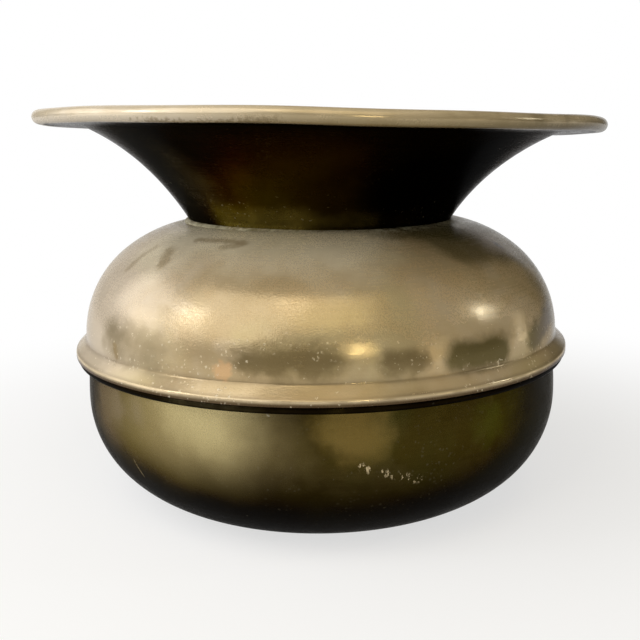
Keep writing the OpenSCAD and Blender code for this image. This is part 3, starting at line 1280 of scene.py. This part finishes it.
@dataclass
class Funnel:
    """The funnel: a spigot in the collar, a flare, a flat lip and a roll round a wire."""

    neck_z: float
    sheet: float = 0.8 * MM
    mouth_r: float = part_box("funnel")[1].x
    top_z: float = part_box("funnel")[1].z
    wire_r: float = 2.0 * MM
    wire_gap: float = 0.05 * MM
    lip_w: float = 15.0 * MM
    lip_bend_r: float = 8.0 * MM
    flare_start: float = 31.0
    neck_r: float = 60.5 * MM
    neck_bend_r: float = 3.0 * MM
    spigot_h: float = 9.0 * MM
    roll_stop: float = 12.0
    polish_in: float = 1.2 * MM
    rubbed_turn: float = 25.0
    roll_shade_turn: float = 205.0
    wire_corners: int = 12

    def __post_init__(self) -> None:
        """Works out the centres of the outline's arcs."""
        roll_in = self.wire_r + self.wire_gap
        self.roll_out = roll_in + self.sheet
        self.roll_c = (self.mouth_r - self.roll_out, self.top_z - self.roll_out)
        self.lip_z = self.roll_c[1] - self.roll_out
        self.lip_c = (self.roll_c[0] - self.lip_w, self.lip_z - self.lip_bend_r)
        self.bend_c = (self.neck_r + self.neck_bend_r, self.neck_z)
        start = polar(self.bend_c, self.neck_bend_r, 180.0 - self.flare_start)
        inner_start = polar(start, self.lip_bend_r, -self.flare_start)
        chord = math.dist(inner_start, self.lip_c)
        chord_lean = 90.0 - heading(inner_start, self.lip_c)
        self.flare_end = 2.0 * chord_lean - self.flare_start
        spread = math.sin(math.radians(chord_lean - self.flare_start))
        self.flare_r = self.lip_bend_r + chord / (2.0 * spread)
        self.flare_c = polar(start, self.flare_r, -self.flare_start)
        self.roll_end = 180.0 + math.degrees(math.asin(roll_in / self.roll_out)) - self.roll_stop

    def outline(self) -> Outline:
        """Draws the sheet's outline from the spigot's end to the end of the roll.

        Returns:
            The outline of the sheet's outer face.
        """
        return Outline((
            Arc((self.bend_c[0], self.bend_c[1] - self.spigot_h), self.neck_bend_r, 180.0, 180.0, 1),
            Arc(self.bend_c, self.neck_bend_r, 180.0, 180.0 - self.flare_start, 1),
            Arc(self.flare_c, self.flare_r, 180.0 - self.flare_start, 180.0 - self.flare_end, 1),
            Arc(self.lip_c, self.lip_bend_r, 180.0 - self.flare_end, 90.0, 1),
            Arc(self.roll_c, self.roll_out, -90.0, self.roll_end, -1),
        ), self.sheet)

    def build(
        self,
        wear: HandWear,
        outside: Material,
        inside: Material,
        wire: Material,
    ) -> None:
        """Makes the funnel and the wire in its rim, and dresses them.

        Args:
            wear: what use did to the form.
            outside: the finish under the rim.
            inside: the finish of the mouth and the roll.
            wire: the finish of the wire.
        """
        walk, marks = self.outline().walk()
        # The roll belongs to the polished side, as the inner face does
        from_wire = np.linalg.norm(walk - np.array(self.roll_c), axis=1)
        on_roll = from_wire < self.roll_out + 0.1 * MM
        marks = np.where(on_roll & (walk[:, 0] > self.roll_c[0] - self.polish_in), Face.INNER.value, marks)
        rubbed = polar(self.roll_c, self.roll_out, self.rubbed_turn)
        under_roll = polar(self.roll_c, self.roll_out, self.roll_shade_turn)
        layers = {
            Layer.WORN.value: gather(walk, (Trace(rubbed, 1.6 * MM, 0.75),)),
            # A dark joint at the funnel's foot; painted shade under the roll and where the roll meets the
            # lip
            Layer.GRIME_AND_SHADE.value: gather(walk, (
                Trace((self.bend_c[0] - 1.0 * MM, self.neck_z), 1.0 * MM, 0.8),
                Trace(under_roll, 1.4 * MM, 0.9),
                Trace((self.roll_c[0], self.lip_z), 0.8 * MM, 0.6),
            )),
            Layer.FLUX.value: np.zeros(len(walk)),
        }
        piece = Turned("funnel_and_rim").build(walk, marks, layers, wear, leans=True)
        dress(piece, "funnel_brass", outside, inside)
        stand_for(piece, "funnel")

        corners = np.arange(self.wire_corners) * 360.0 / self.wire_corners
        ring = np.array([polar(self.roll_c, self.wire_r, angle) for angle in corners])
        flat = {layer.value: np.zeros(len(ring)) for layer in Layer}
        core = Turned("wire_in_rim").build(ring, np.zeros(len(ring), int), flat, wear, leans=True)
        dress(core, "wire", wire)
        stand_for(core, "rim_wire")


@dataclass(frozen=True)
class Ripple:
    """Lumps round a seam: a fine wave that a coarse one swells and flattens."""

    share: float
    fine: int
    fine_phase: float
    coarse: int
    coarse_phase: float

    def at(self, turn: np.ndarray) -> np.ndarray:
        """Finds the lumps at some angles.

        Args:
            turn: the angles round the axis.

        Returns:
            The height of the lumps at each angle.
        """
        fine = self.share * np.sin(self.fine * turn + self.fine_phase)
        return fine * np.sin(self.coarse * turn + self.coarse_phase)


@dataclass
class NeckSeam:
    """The fillet of solder round the neck, with the crust that has grown on it."""

    shoulder: Shoulder
    funnel: Funnel
    climb: float = 0.3 * MM
    spread: float = 0.6 * MM
    sunk: float = 0.5 * MM
    root: float = 1.0 * MM
    crust: float = 0.16 * MM
    crust_out: float = 0.75
    crust_up: float = 0.65
    crust_azimuth: float = -148.0
    crust_full: float = 12.0
    crust_gone: float = 62.0
    thin_share: float = 0.22
    lump_middle: float = 0.5
    lump_top: float = 1.2
    # The seam is painted darker from shade_from to shade_full degrees away from the thick crust: painted
    # shade on the side in the funnel's shadow
    shade_from: float = 40.0
    shade_full: float = 95.0
    grime_and_shade: float = 0.9
    segments: int = 720
    ripples: tuple[Ripple, ...] = (
        Ripple(0.40, 17, 0.6, 5, 1.1),
        Ripple(0.35, 61, 1.9, 23, 0.4),
        Ripple(0.30, 149, 0.2, 37, 2.2),
    )

    def build(self, wear: HandWear, finish: Material) -> None:
        """Makes the seam as a lumpy ring and dresses it.

        Args:
            wear: what use did to the form.
            finish: the seam's finish.
        """
        s, f = self.shoulder, self.funnel
        start = polar(f.bend_c, f.neck_bend_r, 180.0 - f.flare_start)
        top = polar(start, self.climb, 90.0 - f.flare_start)
        toe_turn = heading(s.crown_c, s.collar_c) - math.degrees(self.spread / s.crown_r)
        toe = polar(s.crown_c, s.crown_r, toe_turn)
        # The last three points lie on the funnel, the others on the shoulder
        walk = np.array([
            (f.neck_r + 0.5 * s.sheet, f.neck_z - self.root),
            (toe[0] - 0.8 * self.sunk, toe[1] - self.sunk),
            toe,
            (0.55 * toe[0] + 0.45 * top[0] + 0.1 * MM, 0.5 * (toe[1] + top[1]) - 0.1 * MM),
            top,
            (top[0] - self.sunk, top[1] + 0.1 * MM),
        ])
        swell = np.array([0.0, 0.4, 1.0, 1.0, 0.7, 0.2])
        on_funnel = np.arange(len(walk)) >= len(walk) - 3
        layers = {layer.value: np.zeros(len(walk)) for layer in Layer}
        seam = Turned("neck_seam", segments=self.segments, sharp=80.0)
        piece = seam.build(walk, np.zeros(len(walk), int), layers, wear, leans=False)
        self._grow_crust(piece.data, swell, on_funnel, wear)
        dress(piece, "solder", finish)
        stand_for(piece, "neck_solder")

    def _grow_crust(
        self, mesh: bpy.types.Mesh, swell: np.ndarray, on_funnel: np.ndarray, wear: HandWear
    ) -> None:
        """Swells the seam into lumps, most on the side where the crust is thick.

        Args:
            mesh: the seam's mesh.
            swell: how much each point of its section may grow.
            on_funnel: whether each point of its section leans with the funnel.
            wear: what use did to the form.
        """
        places = np.empty(len(mesh.vertices) * 3)
        mesh.vertices.foreach_get("co", places)
        places = places.reshape(-1, 3)
        turn = np.arctan2(places[:, 1], places[:, 0])
        past = (turn - math.radians(self.crust_azimuth) + math.pi) % (2 * math.pi) - math.pi
        off = np.degrees(np.abs(past))
        thick = 1.0 - smooth_step(off, self.crust_full, self.crust_gone)
        thick = self.thin_share + (1.0 - self.thin_share) * thick
        rippled = self.lump_middle + sum(ripple.at(turn) for ripple in self.ripples)
        lumps = np.clip(rippled, 0.0, self.lump_top)
        grow = self.crust * np.tile(swell, self.segments)[: len(places)] * thick * lumps
        places[:, 0] += grow * self.crust_out * np.cos(turn)
        places[:, 1] += grow * self.crust_out * np.sin(turn)
        places[:, 2] += grow * self.crust_up
        leaning = np.tile(on_funnel, self.segments)[: len(places)]
        places[:, 2] -= np.sin(wear.lean) * places[:, 0] * leaning
        mesh.vertices.foreach_set("co", places.ravel())
        # Painted shade: darker away from the thick crust
        dark = self.grime_and_shade * smooth_step(off, self.shade_from, self.shade_full)
        mesh.attributes[Layer.GRIME_AND_SHADE.value].data.foreach_set("value", dark.astype(np.float32))
        mesh.update()


@dataclass(frozen=True)
class Lamp:
    """A soft lamp: where it hangs, how large and how bright it is."""

    name: str
    azimuth: float
    elevation: float
    distance: float
    width: float
    tall: float
    radiance: float
    colour: Colour = (1.0, 1.0, 1.0)
    aim: Triple = (0.0, 0.0, 0.09)

    def hang(self) -> None:
        """Hangs the lamp so that it faces its aim."""
        data = bpy.data.lights.new(self.name, "AREA")
        data.shape = "RECTANGLE"
        data.size = self.width
        data.size_y = self.tall
        data.energy = self.radiance * math.pi * self.width * self.tall
        data.color = self.colour
        lamp = link_new(self.name, data)
        lamp.visible_camera = False
        turn, rise = math.radians(self.azimuth), math.radians(self.elevation)
        level = math.cos(rise)
        out = Vector((math.cos(turn) * level, math.sin(turn) * level, math.sin(rise)))
        lamp.location = Vector(self.aim) + out * self.distance
        lamp.rotation_euler = out.to_track_quat("Z", "Y").to_euler()


@dataclass
class Studio:
    """A pale sweep of paper, a grey room and soft lamps."""

    paper: Colour = (0.90, 0.90, 0.89)
    paper_shade: float = 0.97
    paper_bounce: Colour = (0.45, 0.44, 0.42)
    white: float = 1.0
    glow_near: float = 0.12
    glow_far: float = 0.40
    glow_low: float = 0.66
    room: Colour = (0.12, 0.115, 0.10)
    reach: float = 5.0
    roll_width: float = 2.72
    lift: float = 1.0 * MM
    back: float = 1.5
    bend: float = 0.5
    wall: float = 2.2
    lamps: tuple[Lamp, ...] = (
        Lamp("key_softbox", -138.0, 39.0, 0.95, 0.80, 0.86, 2.5, (0.98, 0.98, 1.0)),
        Lamp("window", -157.0, 29.0, 0.95, 0.20, 0.22, 5.6, (0.96, 0.98, 1.0)),
        Lamp("left_panel", -172.0, 8.0, 0.95, 0.55, 0.50, 1.3, (1.0, 0.97, 0.92)),
        Lamp("back_window", 172.0, 26.0, 0.95, 0.60, 0.44, 2.0, (0.96, 0.97, 1.0)),
        Lamp("front_panel", -86.0, 49.0, 0.95, 0.62, 0.62, 1.6, (1.0, 0.84, 0.54)),
        Lamp("front_lamp", -74.0, 13.0, 0.90, 0.07, 0.07, 34.0, (1.0, 0.86, 0.55)),
        Lamp("side_window", -8.0, 23.0, 0.95, 0.08, 0.11, 20.0, (0.90, 0.96, 1.0)),
        Lamp("doorway", 10.0, 4.0, 1.0, 0.05, 0.30, 4.0, (1.0, 0.98, 0.92)),
        Lamp("front_strip", -37.0, 4.0, 1.0, 0.05, 0.28, 3.0, (1.0, 0.86, 0.55)),
        Lamp("top_panel", 90.0, 88.0, 1.25, 1.3, 1.3, 0.5, (1.0, 0.93, 0.80)),
    )

    def build(self) -> None:
        """Lays the floor, hangs the paper, lights the room and sets the colour transform."""
        paper = self._paper()
        self._lay("floor", [(-self.reach, 0.0), (self.reach, 0.0)], self.reach, paper)
        centre = (self.back, self.bend + self.lift)
        line = [polar(centre, self.bend, turn) for turn in range(-90, 1, 10)]
        line.append((line[-1][0], self.wall))
        self._lay("backdrop", line, self.roll_width / 2.0, paper)
        for lamp in self.lamps:
            lamp.hang()
        world = bpy.data.worlds.new("room")
        world.use_nodes = True
        world.node_tree.nodes["Background"].inputs["Color"].default_value = (*self.room, 1.0)
        bpy.context.scene.world = world
        bpy.context.scene.view_settings.view_transform = "Standard"
        LOG.info("studio has %d lamps", len(self.lamps))

    def _lay(self, name: str, line: list[Point], half_width: float, paper: Material) -> None:
        """Makes a sheet of paper from its side view.

        Args:
            name: the sheet's name.
            line: its side view, as places in Y and Z.
            half_width: how far it reaches to each side.
            paper: its material.
        """
        mesh = bpy.data.meshes.new(name)
        places = [(x, y, z) for y, z in line for x in (-half_width, half_width)]
        quads = [(2 * i, 2 * i + 1, 2 * i + 3, 2 * i + 2) for i in range(len(line) - 1)]
        mesh.from_pydata(places, [], quads)
        mesh.polygons.foreach_set("use_smooth", np.ones(len(mesh.polygons), bool))
        mesh.materials.append(paper)
        sheet = link_new(name, mesh)

    def _paper(self) -> Material:
        """Matt paper that shows white far from the object and keeps the shadow near it.

        Returns:
            The material.
        """
        s = Sheet("pale_paper")
        nodes, links = s.tree.nodes, s.tree.links
        path = nodes.new("ShaderNodeLightPath")
        seen = s.sum("MAXIMUM", path.outputs["Is Camera Ray"], path.outputs["Is Glossy Ray"])
        seen = s.sum("MAXIMUM", seen, path.outputs["Is Transmission Ray"])
        shade = tuple(self.paper_shade * part for part in self.paper)
        pale = s.mix(s.between(s.noise(PAPER_CLOUDS), 0.3, 0.7), self.paper, shade)
        s.feed(s.shader.inputs["Base Color"], s.mix(seen, self.paper_bounce, pale))
        s.feed(s.shader.inputs["Roughness"], 0.9)
        s.shader.inputs["Specular IOR Level"].default_value = 0.1
        glow = nodes.new("ShaderNodeEmission")
        glow.inputs["Color"].default_value = (self.white, self.white, self.white, 1.0)
        away = s.vector("LENGTH", s.place)
        far = s.between(away, self.glow_near, self.glow_far, bottom=self.glow_low)
        both = nodes.new("ShaderNodeMixShader")
        links.new(s.sum("MULTIPLY", far, seen), both.inputs["Fac"])
        links.new(s.shader.outputs["BSDF"], both.inputs[1])
        links.new(glow.outputs["Emission"], both.inputs[2])
        links.new(both.outputs["Shader"], s.output.inputs["Surface"])
        return s.material


@dataclass(frozen=True)
class PhotoCamera:
    """The camera of the photograph, as fitted to the object's outline."""

    focal_px: float = 845.4
    sensor: float = 36.0
    x: float = -0.3 * MM
    back: float = 403.3 * MM
    height: float = 160.7 * MM
    pitch_down: float = 11.79
    roll: float = 0.854

    def place(self) -> None:
        """Makes the camera and gives it to the scene."""
        data = bpy.data.cameras.new("photo_camera")
        data.sensor_width = self.sensor
        data.lens = self.focal_px * self.sensor / PHOTO_PX
        camera = link_new("photo_camera", data)
        down, roll = math.radians(self.pitch_down), math.radians(self.roll)
        ahead = Vector((0.0, math.cos(down), -math.sin(down)))
        level = Vector((1.0, 0.0, 0.0))
        upright = Vector((0.0, math.sin(down), math.cos(down)))
        right = level * math.cos(roll) - upright * math.sin(roll)
        up = level * math.sin(roll) + upright * math.cos(roll)
        turn = Matrix((right, up, -ahead)).transposed()
        camera.matrix_world = Matrix.Translation((self.x, -self.back, self.height)) @ turn.to_4x4()
        bpy.context.scene.camera = camera


def dome_brass() -> Material:
    """The dome and the skirt: dusty pink, painted paler on the left as light; olive with painted shade on
    the right, a painted shadow of the funnel and painted dark reflections low down.

    Returns:
        The finish.
    """
    return TarnishedBrass(
        "dome_brass",
        tarnish=(0.60, 0.475, 0.285),
        tarnish_deep=(0.46, 0.355, 0.20),
        bloom=(0.62, 0.52, 0.38),
        olive=(0.50, 0.42, 0.22),
        bright=(0.80, 0.66, 0.44),
        grime_and_shade=(0.075, 0.048, 0.026),
        dust=(0.80, 0.72, 0.55),
        edge_tint=(0.24, 0.19, 0.11),
        metal=0.30,
        rough=0.28,
        low_gloss=0.08,
        glint=0.5,
        marks=(
            # Painted light: the left of the dome painted paler pink, where the light falls
            Mark(Place(-152.0, 104.0, 96.0), 78.0, PINK, 0.85, ragged=0.12),
            Mark(Place(75.0, 104.0, 96.0), 50.0, PINK, 0.5),
            # Painted shadow: the funnel's shadow on the right of the dome, near the neck
            Mark(Place(-66.0, 62.0, 126.0), 17.0, DARK_OLIVE, 0.7, Place(-45.0, 66.0, 124.5), 0.10, 0.6),
            Mark(Place(-42.0, 74.0, 121.5), 27.0, DARK_OLIVE, 0.75, Place(-8.0, 88.0, 116.0), 0.08, 0.65),
            # Painted shade on the dome's right side
            Mark(Place(-14.0, 108.0, 95.0), 34.0, SHADY_OLIVE, 0.7, ragged=0.12, core=0.4),
            Mark(Place(4.0, 101.0, 104.0), 40.0, DEEP_OLIVE, 0.85, ragged=0.10, core=0.4),
            # Painted shade on the front and right of the bead
            Mark(Place(-106.0, 125.0, 73.0), 12.0, BROWN, 0.6, Place(-66.0, 125.0, 73.0), 0.1, 0.5),
            Mark(Place(-36.0, 125.0, 73.0), 14.0, SHADY_OLIVE, 0.5, Place(0.0, 125.0, 73.0), 0.1, 0.5),
            # Painted dark reflections in the dome's low band, between the light streaks
            Mark(Place(-38.0, 109.4, 81.5), 8.0, DARK_OLIVE, 0.85, Place(-23.0, 108.6, 89.0), 0.15, 0.3),
            Mark(Place(-62.0, 109.5, 82.0), 9.0, DARK_OLIVE, 0.9, Place(-50.5, 109.5, 81.5), 0.12, 0.3),
            Mark(Place(-76.5, 109.5, 82.0), 7.5, DARK_BROWN, 0.8, Place(-71.0, 109.5, 82.0), 0.15, 0.2),
            Mark(Place(-104.0, 109.4, 84.0), 9.5, DARK_BROWN, 0.8, Place(-89.0, 109.4, 83.5), 0.2, 0.2),
            Mark(Place(-142.0, 108.8, 85.5), 12.0, DUSTY_BROWN, 0.85, Place(-126.0, 109.4, 82.0), 0.2, 0.0),
            Mark(Place(-150.0, 62.6, 126.3), 3.0, CRUST_WHITE, 0.8, Place(-117.0, 62.8, 126.2), 0.5, 0.1),
            Mark(Place(-139.5, 109.3, 82.0), 2.4, BROWN, 0.8, Place(-138.5, 109.6, 78.0)),
            # Painted light: the upper left of the dome painted paler beige, as if more light fell there
            # under the funnel
            Mark(Place(-140.0, 76.0, 122.0), 32.0, PAINTED_LIGHT_BEIGE, 0.8, Place(-84.0, 78.0, 122.0), 0.2),
            Mark(Place(-131.0, 75.5, 122.7), 3.2, BROWN, 0.6, Place(-113.0, 75.7, 122.7)),
            Mark(Place(-119.0, 79.5, 121.0), 3.0, BROWN, 0.5, Place(-114.0, 77.5, 122.0)),
            Mark(Place(-137.0, 84.0, 118.6), 4.6, BROWN, 0.6, Place(-134.0, 91.0, 114.2)),
            Mark(Place(-146.0, 84.0, 118.6), 3.6, BROWN, 0.4, Place(-148.0, 95.0, 111.0)),
            Mark(Place(-28.3, 87.1, 116.9), 4.0, NEAR_BLACK, 0.6),
            Mark(Place(-109.4, 109.9, 79.8), 4.8, ORANGE, 0.75, core=0.5),
            Mark(Place(150.0, 100.0, 100.0), 10.0, BROWN, 0.5),
            Mark(Place(95.0, 109.4, 83.0), 8.0, BROWN, 0.5, Place(120.0, 109.4, 82.0)),
            Mark(Place(35.0, 92.0, 113.5), 12.0, OLIVE, 0.5),
        ),
    ).make()


def bowl_brass() -> Material:
    """The bowl: dark brown, painted darker still low down as shade, with painted light and reflection in
    gold and pink on the left.

    Returns:
        The finish.
    """
    return TarnishedBrass(
        "bowl_brass_aged",
        # The dark brown is tarnish that also stands for shade on the right of the bowl
        tarnish=(0.050, 0.036, 0.006),
        tarnish_deep=(0.024, 0.014, 0.002),
        bloom=(0.080, 0.060, 0.020),
        olive=(0.050, 0.048, 0.010),
        grime_and_shade=(0.006, 0.0035, 0.001),
        edge_tint=(0.05, 0.035, 0.012),
        sheen_level=0.05,
        metal=0.75,
        rough=0.34,
        dust_share=0.40,
        dust_low=0.0,
        dust_high=0.01,
        painted_shade_to=0.020,
        painted_shade_from=0.052,
        marks=(
            # Painted light and reflection: gold and pink on the left of the bowl, where the light falls
            Mark(Place(-123.0, 111.0, 62.0), 66.0, DULL_GOLD, 0.95, ragged=0.12),
            Mark(Place(-114.0, 110.0, 64.0), 30.0, GOLD, 0.8, ragged=0.12),
            Mark(Place(-144.0, 110.0, 56.0), 28.0, DULL_PINK, 0.7),
            Mark(Place(-84.0, 110.0, 60.0), 20.0, WARM_GOLD, 0.6),
            Mark(Place(-53.6, 110.2, 53.0), 13.0, MOSSY, 0.6),
            Mark(Place(35.0, 111.0, 58.0), 50.0, DULL_GOLD, 0.7),
            Mark(Place(118.0, 111.0, 56.0), 60.0, DULL_GOLD, 0.8),
            Mark(Place(172.0, 111.0, 60.0), 34.0, GOLD, 0.5),
        ),
        scratches=(
            Stroke(Place(-135.7, 108.6, 35.4), Place(-134.1, 105.7, 27.5), 0.35),
            Stroke(Place(-120.2, 110.3, 47.4), Place(-119.3, 109.9, 42.3), 0.3),
            Stroke(Place(-117.8, 109.6, 39.5), Place(-117.1, 108.9, 36.6), 0.3),
            Stroke(Place(62.0, 110.2, 50.0), Place(66.0, 108.8, 36.5), 0.35),
            Stroke(Place(158.0, 110.0, 42.0), Place(163.0, 107.4, 31.4), 0.35),
        ),
        scuffs=(
            Stroke(Place(-82.9, 110.1, 43.7), Place(-70.7, 108.7, 35.9), 2.6),
            Stroke(Place(20.0, 110.0, 42.5), Place(27.0, 109.0, 37.5), 3.0),
        ),
    ).make()


def funnel_brass() -> Material:
    """The outside of the funnel: nearly black, with painted shade on its right, a painted grey reflection
    on its left and a painted olive reflection of the dome at its foot.

    Returns:
        The finish.
    """
    return TarnishedBrass(
        "funnel_brass_dark",
        tarnish=(0.048, 0.030, 0.003),
        tarnish_deep=(0.030, 0.017, 0.001),
        bloom=(0.058, 0.040, 0.006),
        olive=(0.046, 0.036, 0.003),
        grime_and_shade=(0.026, 0.011, 0.001),
        edge_tint=(0.03, 0.018, 0.004),
        sheen_level=0.05,
        metal=0.95,
        rough=0.25,
        rough_spread=0.08,
        bloom_share=0.3,
        dust_share=0.35,
        dust_low=0.128,
        dust_high=0.145,
        marks=(
            # Painted shade on the funnel's right
            Mark(Place(-50.0, 80.0, 146.0), 62.0, NEAR_BLACK, 0.9),
            # Painted reflection: a grey sheen on the funnel's left
            Mark(Place(-158.0, 92.0, 152.0), 56.0, DUSKY, 0.9, ragged=0.08, core=0.6),
            # Painted reflection of the dome in olive gold at the funnel's foot
            Mark(Place(-128.0, 63.5, 129.0), 12.0, FOOT_GOLD, 0.5, Place(-98.0, 63.0, 128.5), 0.12, 0.0),
            Mark(Place(-128.0, 61.5, 127.5), 3.4, FOOT_GOLD, 0.6, Place(-98.0, 61.2, 127.5), 0.1, 0.3),
            Mark(Place(-98.0, 63.0, 128.5), 9.0, FOOT_GOLD, 0.28, Place(-72.0, 63.0, 128.5), 0.12, 0.0),
            Mark(Place(80.0, 86.0, 150.0), 60.0, OLD_BROWN, 0.8),
        ),
    ).make()


def rim_brass() -> Material:
    """The rim and the mouth: painted pale on the left as light, and dark to the right as shade.

    Returns:
        The finish.
    """
    return TarnishedBrass(
        "rim_brass",
        tarnish=(0.38, 0.305, 0.170),
        tarnish_deep=(0.30, 0.235, 0.120),
        bloom=(0.42, 0.35, 0.22),
        olive=(0.31, 0.25, 0.125),
        bright=(0.60, 0.50, 0.34),
        edge_tint=(0.36, 0.30, 0.20),
        sheen_level=0.2,
        metal=0.25,
        rough=0.28,
        glint=0.1,
        grain=0.02 * MM,
        dust_share=0.3,
        marks=(
            # Painted light: the rim painted pale on the left, where the light falls
            Mark(Place(-160.0, 126.5, 169.0), 165.0, PALE_PINK, 0.95, ragged=0.06, core=0.45),
            # Painted shade: the rim painted dark to the right
            Mark(Place(-8.0, 127.0, 169.0), 150.0, RIM_BROWN, 0.92, ragged=0.06, core=0.3),
            Mark(Place(-120.0, 126.8, 168.4), 2.2, DARK_BROWN, 0.6, Place(-96.0, 126.8, 168.2), 0.6),
            Mark(Place(-150.0, 127.2, 168.8), 1.4, BROWN, 0.4, Place(-141.0, 127.2, 168.6), 0.6),
            Mark(Place(150.0, 127.0, 169.0), 30.0, BROWN, 0.5),
        ),
        scuffs=(Stroke(Place(-50.0, 126.5, 169.0), Place(-38.0, 126.5, 168.5), 3.5),),
    ).make()


def inner_brass() -> Material:
    """The insides: dull and spotted.

    Returns:
        The finish.
    """
    return TarnishedBrass(
        "inner_brass_dull",
        tarnish=(0.22, 0.170, 0.085),
        tarnish_deep=(0.100, 0.074, 0.032),
        bloom=(0.20, 0.18, 0.10),
        olive=(0.13, 0.12, 0.06),
        metal=0.6,
        rough=0.5,
        dust_share=0.4,
        dust_low=0.02,
        dust_high=0.10,
    ).make()


def main() -> None:
    """Builds the spittoon, its finishes, the studio and the camera."""
    logging.basicConfig(level=logging.INFO, format="%(name)s: %(message)s")
    on_dome, on_bowl, on_funnel = dome_brass(), bowl_brass(), funnel_brass()
    on_rim, inside = rim_brass(), inner_brass()
    solder = CrustedSolder().make()
    wire = RoughIron("drawn_wire", scale=160.0).make()
    iron = RoughIron("cast_iron_ring").make()
    # The belt and cover solder are painted dark grey: dirt, and painted shade where they lie under the
    # skirt and the bowl
    dark_solder = CrustedSolder("grimy_shaded_solder", GREY_SOLDER, GREY_CRUST, GREY_GREEN).make()

    wear = HandWear()
    shoulder = Shoulder()
    funnel = Funnel(neck_z=shoulder.collar_c[1])
    shoulder.build(wear, on_dome, inside)
    Bowl().build(wear, on_bowl, inside)
    funnel.build(wear, on_funnel, on_rim, wire)
    NeckSeam(shoulder, funnel).build(wear, solder)

    kept = {
        "weight_cover": ("inner_brass", inside),
        "base_weight": ("iron", iron),
        "belt_solder": ("solder", dark_solder),
        "cover_solder": ("solder", dark_solder),
    }
    for name, (slot, finish) in kept.items():
        dress(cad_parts[name], slot, finish)
        LOG.info("%s keeps its form and is dressed", name)

    Studio().build()
    PhotoCamera().place()


if __name__ == "__main__":
    main()
